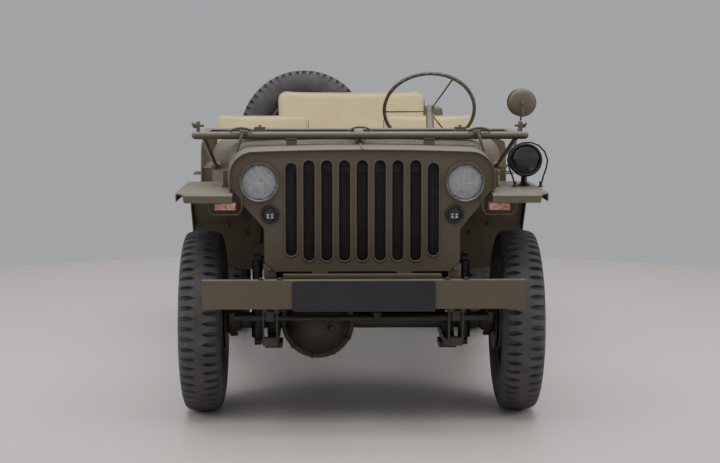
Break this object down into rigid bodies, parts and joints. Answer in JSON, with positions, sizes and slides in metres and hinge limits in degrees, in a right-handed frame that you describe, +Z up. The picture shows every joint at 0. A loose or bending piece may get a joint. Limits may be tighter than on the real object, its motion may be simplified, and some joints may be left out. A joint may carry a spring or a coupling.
{
  "type": "light four-wheel-drive army car",
  "caption": "Open-topped light army car with driven front and rear axles, folded windscreen, canvas seats and a spare wheel on the tail.",
  "frame": {"origin": "on the ground, under the middle of the car's length and width", "axes": "+X to the car's left, +Y to its rear, +Z up"},
  "size_m": [1.58, 3.366, 1.3413],
  "materials": {
    "olive_paint": "satin army drab",
    "dark_paint": "dull chassis paint",
    "black_paint": "satin black",
    "canvas": "khaki canvas",
    "tyre": "matt black",
    "lamp": "bright bezel",
    "signal_lens": "pinkish red lens",
    "glass": "clear"
  },
  "bodies": {
    "body": {"chassis_frame": "dark_paint", "front_bumper": "olive_paint", "number_plate": "black_paint", "rear_bumperettes": "olive_paint", "tow_hitch": "dark_paint", "body_floor": "olive_paint", "wheel_boxes": "olive_paint", "body_side_left": "olive_paint", "body_side_right": "olive_paint", "rear_panel": "olive_paint", "scuttle": "olive_paint", "hood": "olive_paint", "hood_fittings": "olive_paint", "grille_panel": "olive_paint", "front_wings": "olive_paint", "radiator": "black_paint", "engine": "dark_paint", "propeller_shafts": "dark_paint", "front_axle": "dark_paint", "rear_axle": "dark_paint", "leaf_springs": "dark_paint", "shock_absorbers": "black_paint", "exhaust": "dark_paint", "fuel_tank": "olive_paint", "driver_seat_frame": "olive_paint", "rear_seat_frame": "olive_paint", "driver_seat_cushions": "canvas", "rear_seat_cushions": "canvas", "headlamps": "lamp", "marker_lamps": "black_paint", "blackout_lamp": "black_paint", "signal_lamps": "signal_lens", "tail_lamps": "black_paint", "side_mirror": "black_paint", "body_handles": "olive_paint", "steering_column": "dark_paint", "pedals_and_levers": "black_paint", "jerry_can": "olive_paint", "spare_tyre": "tyre", "spare_wheel": "olive_paint"},
    "front_left_wheel_body": {"front_left_tyre": "tyre", "front_left_wheel": "olive_paint"},
    "front_right_wheel_body": {"front_right_tyre": "tyre", "front_right_wheel": "olive_paint"},
    "rear_left_wheel_body": {"rear_left_tyre": "tyre", "rear_left_wheel": "olive_paint"},
    "rear_right_wheel_body": {"rear_right_tyre": "tyre", "rear_right_wheel": "olive_paint"},
    "left_knuckle": {"knuckle_left": "dark_paint"},
    "right_knuckle": {"knuckle_right": "dark_paint"},
    "track_rod_pair": {"track_rods": "dark_paint"},
    "steering_bell_crank": {"bell_crank": "dark_paint"},
    "hand_wheel": {"steering_wheel": "black_paint"},
    "windscreen": {"windscreen_frame": "olive_paint", "windscreen_glass": "glass"},
    "passenger_seat": {"passenger_seat_frame": "olive_paint", "passenger_seat_cushions": "canvas"}
  },
  "joints": [
    {"name": "steer_left", "type": "hinge", "parent": "body", "child": "left_knuckle", "pos_m": [0.505, -1.082, 0.359], "axis": [0, 0, 1], "range_deg": [-26, 26]},
    {"name": "steer_right", "type": "hinge", "parent": "body", "child": "right_knuckle", "pos_m": [-0.505, -1.082, 0.359], "axis": [0, 0, 1], "range_deg": [-26, 26]},
    {"name": "bell_crank_turn", "type": "hinge", "parent": "body", "child": "steering_bell_crank", "pos_m": [0.06, -1.082, 0.42], "axis": [0, 0, 1], "range_deg": [-26, 26]},
    {"name": "track_rod_swing", "type": "hinge", "parent": "left_knuckle", "child": "track_rod_pair", "pos_m": [0.505, -1.272, 0.395], "axis": [0, 0, 1], "range_deg": [-26, 26]},
    {"name": "steering_wheel_turn", "type": "hinge", "parent": "body", "child": "hand_wheel", "pos_m": [0.352, 0.178, 1.16], "axis": [0.0155, 0.8089, 0.5878], "range_deg": [-364, 364]},
    {"name": "front_left_roll", "type": "hinge", "parent": "left_knuckle", "child": "front_left_wheel_body", "pos_m": [0.6225, -1.082, 0.359], "axis": [1, 0, 0], "continuous": true},
    {"name": "front_right_roll", "type": "hinge", "parent": "right_knuckle", "child": "front_right_wheel_body", "pos_m": [-0.6225, -1.082, 0.359], "axis": [1, 0, 0], "continuous": true},
    {"name": "rear_left_roll", "type": "hinge", "parent": "body", "child": "rear_left_wheel_body", "pos_m": [0.6225, 0.95, 0.359], "axis": [1, 0, 0], "continuous": true},
    {"name": "rear_right_roll", "type": "hinge", "parent": "body", "child": "rear_right_wheel_body", "pos_m": [-0.6225, 0.95, 0.359], "axis": [1, 0, 0], "continuous": true},
    {"name": "windscreen_fold", "type": "hinge", "parent": "body", "child": "windscreen", "pos_m": [0, -0.352, 0.93], "axis": [-1, 0, 0], "range_deg": [0, 90]},
    {"name": "passenger_seat_tip", "type": "hinge", "parent": "body", "child": "passenger_seat", "pos_m": [-0.446, 0.058, 0.63], "axis": [1, 0, 0], "range_deg": [0, 50]}
  ],
  "couplings": [
    {"joint": "steer_right", "follows": "steer_left", "ratio": 1},
    {"joint": "bell_crank_turn", "follows": "steer_left", "ratio": 1},
    {"joint": "track_rod_swing", "follows": "steer_left", "ratio": -1},
    {"joint": "steering_wheel_turn", "follows": "steer_left", "ratio": 14}
  ]
}
